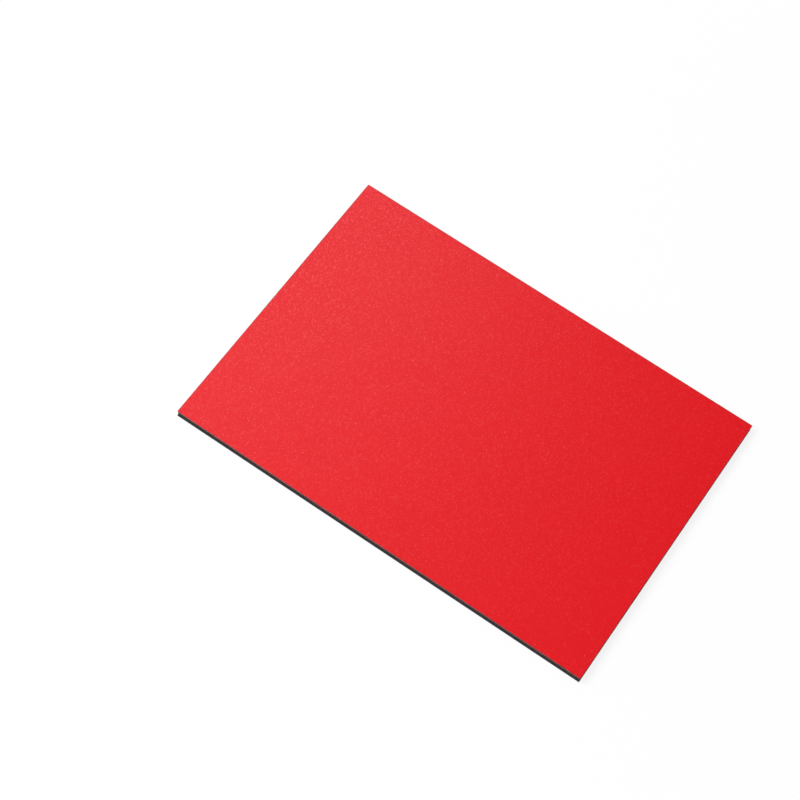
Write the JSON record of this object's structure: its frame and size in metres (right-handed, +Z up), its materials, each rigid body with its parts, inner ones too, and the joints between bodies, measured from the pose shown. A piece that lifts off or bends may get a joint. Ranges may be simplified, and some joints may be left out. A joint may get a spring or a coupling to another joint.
{
  "type": "aluminium composite panel",
  "caption": "Flat square-cornered sheet for signs and cladding: thin coated aluminium skins bonded to a black polyethylene core, with a red front face.",
  "frame": {"origin": "middle of the back face, which the panel lies on", "axes": "+X along the length, +Y along the width, +Z up from the back face to the red front face"},
  "size_m": [0.148, 0.105, 0.003],
  "materials": {
    "red_coil_coat": "gloss",
    "black_polyethylene": "matte",
    "service_coat": "satin"
  },
  "bodies": {
    "root": {"front_skin": "red_coil_coat", "polyethylene_core": "black_polyethylene", "back_skin": "service_coat"}
  },
  "joints": []
}
